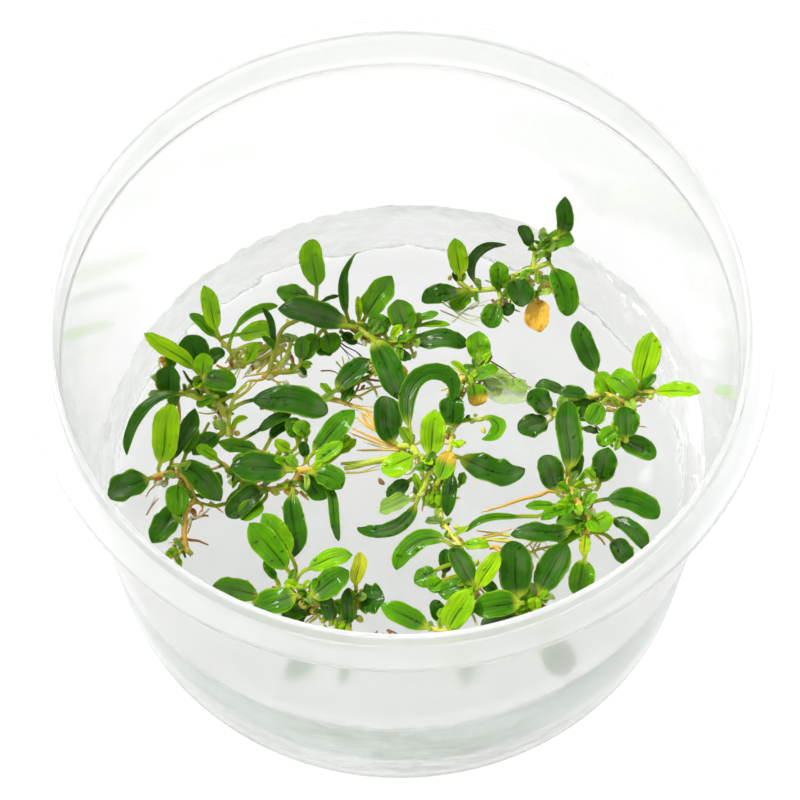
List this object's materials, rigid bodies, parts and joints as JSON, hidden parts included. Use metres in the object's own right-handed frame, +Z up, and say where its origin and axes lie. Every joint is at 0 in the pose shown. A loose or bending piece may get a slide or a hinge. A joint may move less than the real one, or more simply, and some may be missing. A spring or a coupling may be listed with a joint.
{
  "type": "potted aquarium plant",
  "caption": "Clear round plastic cup with a wide rim, a slab of clear gel inside and small aquarium plants with slim leaves growing on it.",
  "frame": {"origin": "the middle of the cup's underside, at the height of the face that the cup stands on", "axes": "+Z up along the cup's axis; -Y is the front, the side nearest the camera; +X is to the right as seen from the front"},
  "size_m": [0.1, 0.1, 0.058],
  "materials": {
    "clear_cup": "clear and glossy, slightly milky",
    "clear_gel": "wet and glossy, a little cloudy",
    "stem_green": "waxy plant skin, yellow green to orange brown",
    "leaf_dark": "waxy dark green leaf, wet",
    "leaf_mid": "waxy green leaf, wet",
    "leaf_bright": "waxy yellow green leaf, wet"
  },
  "bodies": {
    "root": {"cup": "clear_cup", "gel": "clear_gel", "back_left_stem": "stem_green", "back_left_leaf_spoon": "leaf_bright", "left_stem": "stem_green", "left_leaf_bright": "leaf_bright", "left_leaf_dark": "leaf_dark", "left_leaf_long": "leaf_dark", "left_leaf_big": "leaf_dark", "left_front_stem": "stem_green", "left_front_leaf_bright": "leaf_bright", "left_front_leaf_dark": "leaf_dark", "left_front_leaf_far": "leaf_dark", "left_front_leaf_right": "leaf_dark", "left_front_leaf_under": "leaf_dark", "centre_left_stem": "stem_green", "centre_left_leaf_broad": "leaf_dark", "centre_left_leaf_right": "leaf_mid", "centre_left_leaf_down": "leaf_dark", "centre_left_leaf_far": "leaf_dark", "front_left_stem": "stem_green", "front_left_leaf_big": "leaf_mid", "front_left_leaf_back": "leaf_bright", "front_left_leaf_left": "leaf_mid", "front_left_leaf_front": "leaf_mid", "front_left_leaf_right": "leaf_mid", "back_stem": "stem_green", "back_leaf_big": "leaf_dark", "back_leaf_upright": "leaf_mid", "back_leaf_front": "leaf_dark", "back_leaf_wet": "leaf_dark", "back_leaf_wide": "leaf_mid", "back_leaf_left": "leaf_dark", "centre_stem": "stem_green", "centre_leaf_dark": "leaf_dark", "centre_leaf_arch": "leaf_dark", "centre_leaf_bright": "leaf_bright", "centre_leaf_curl": "leaf_dark", "centre_leaf_long": "leaf_dark", "sprig_stem": "stem_green", "back_right_stem": "stem_green", "back_right_leaf_fall": "leaf_mid", "right_stem": "stem_green", "right_leaf_spur": "leaf_dark", "right_leaf_bright": "leaf_bright", "right_leaf_bow": "leaf_bright", "right_leaf_tongue": "leaf_dark", "right_front_stem": "stem_green", "right_front_leaf_tall": "leaf_dark", "right_front_leaf_right": "leaf_dark", "right_front_leaf_low": "leaf_dark", "front_stem": "stem_green", "front_leaf_bright": "leaf_bright", "front_leaf_long": "leaf_mid", "front_right_stem": "stem_green", "front_right_leaf_tall": "leaf_dark", "front_right_leaf_flat": "leaf_dark", "front_right_leaf_back": "leaf_dark"}
  },
  "joints": []
}
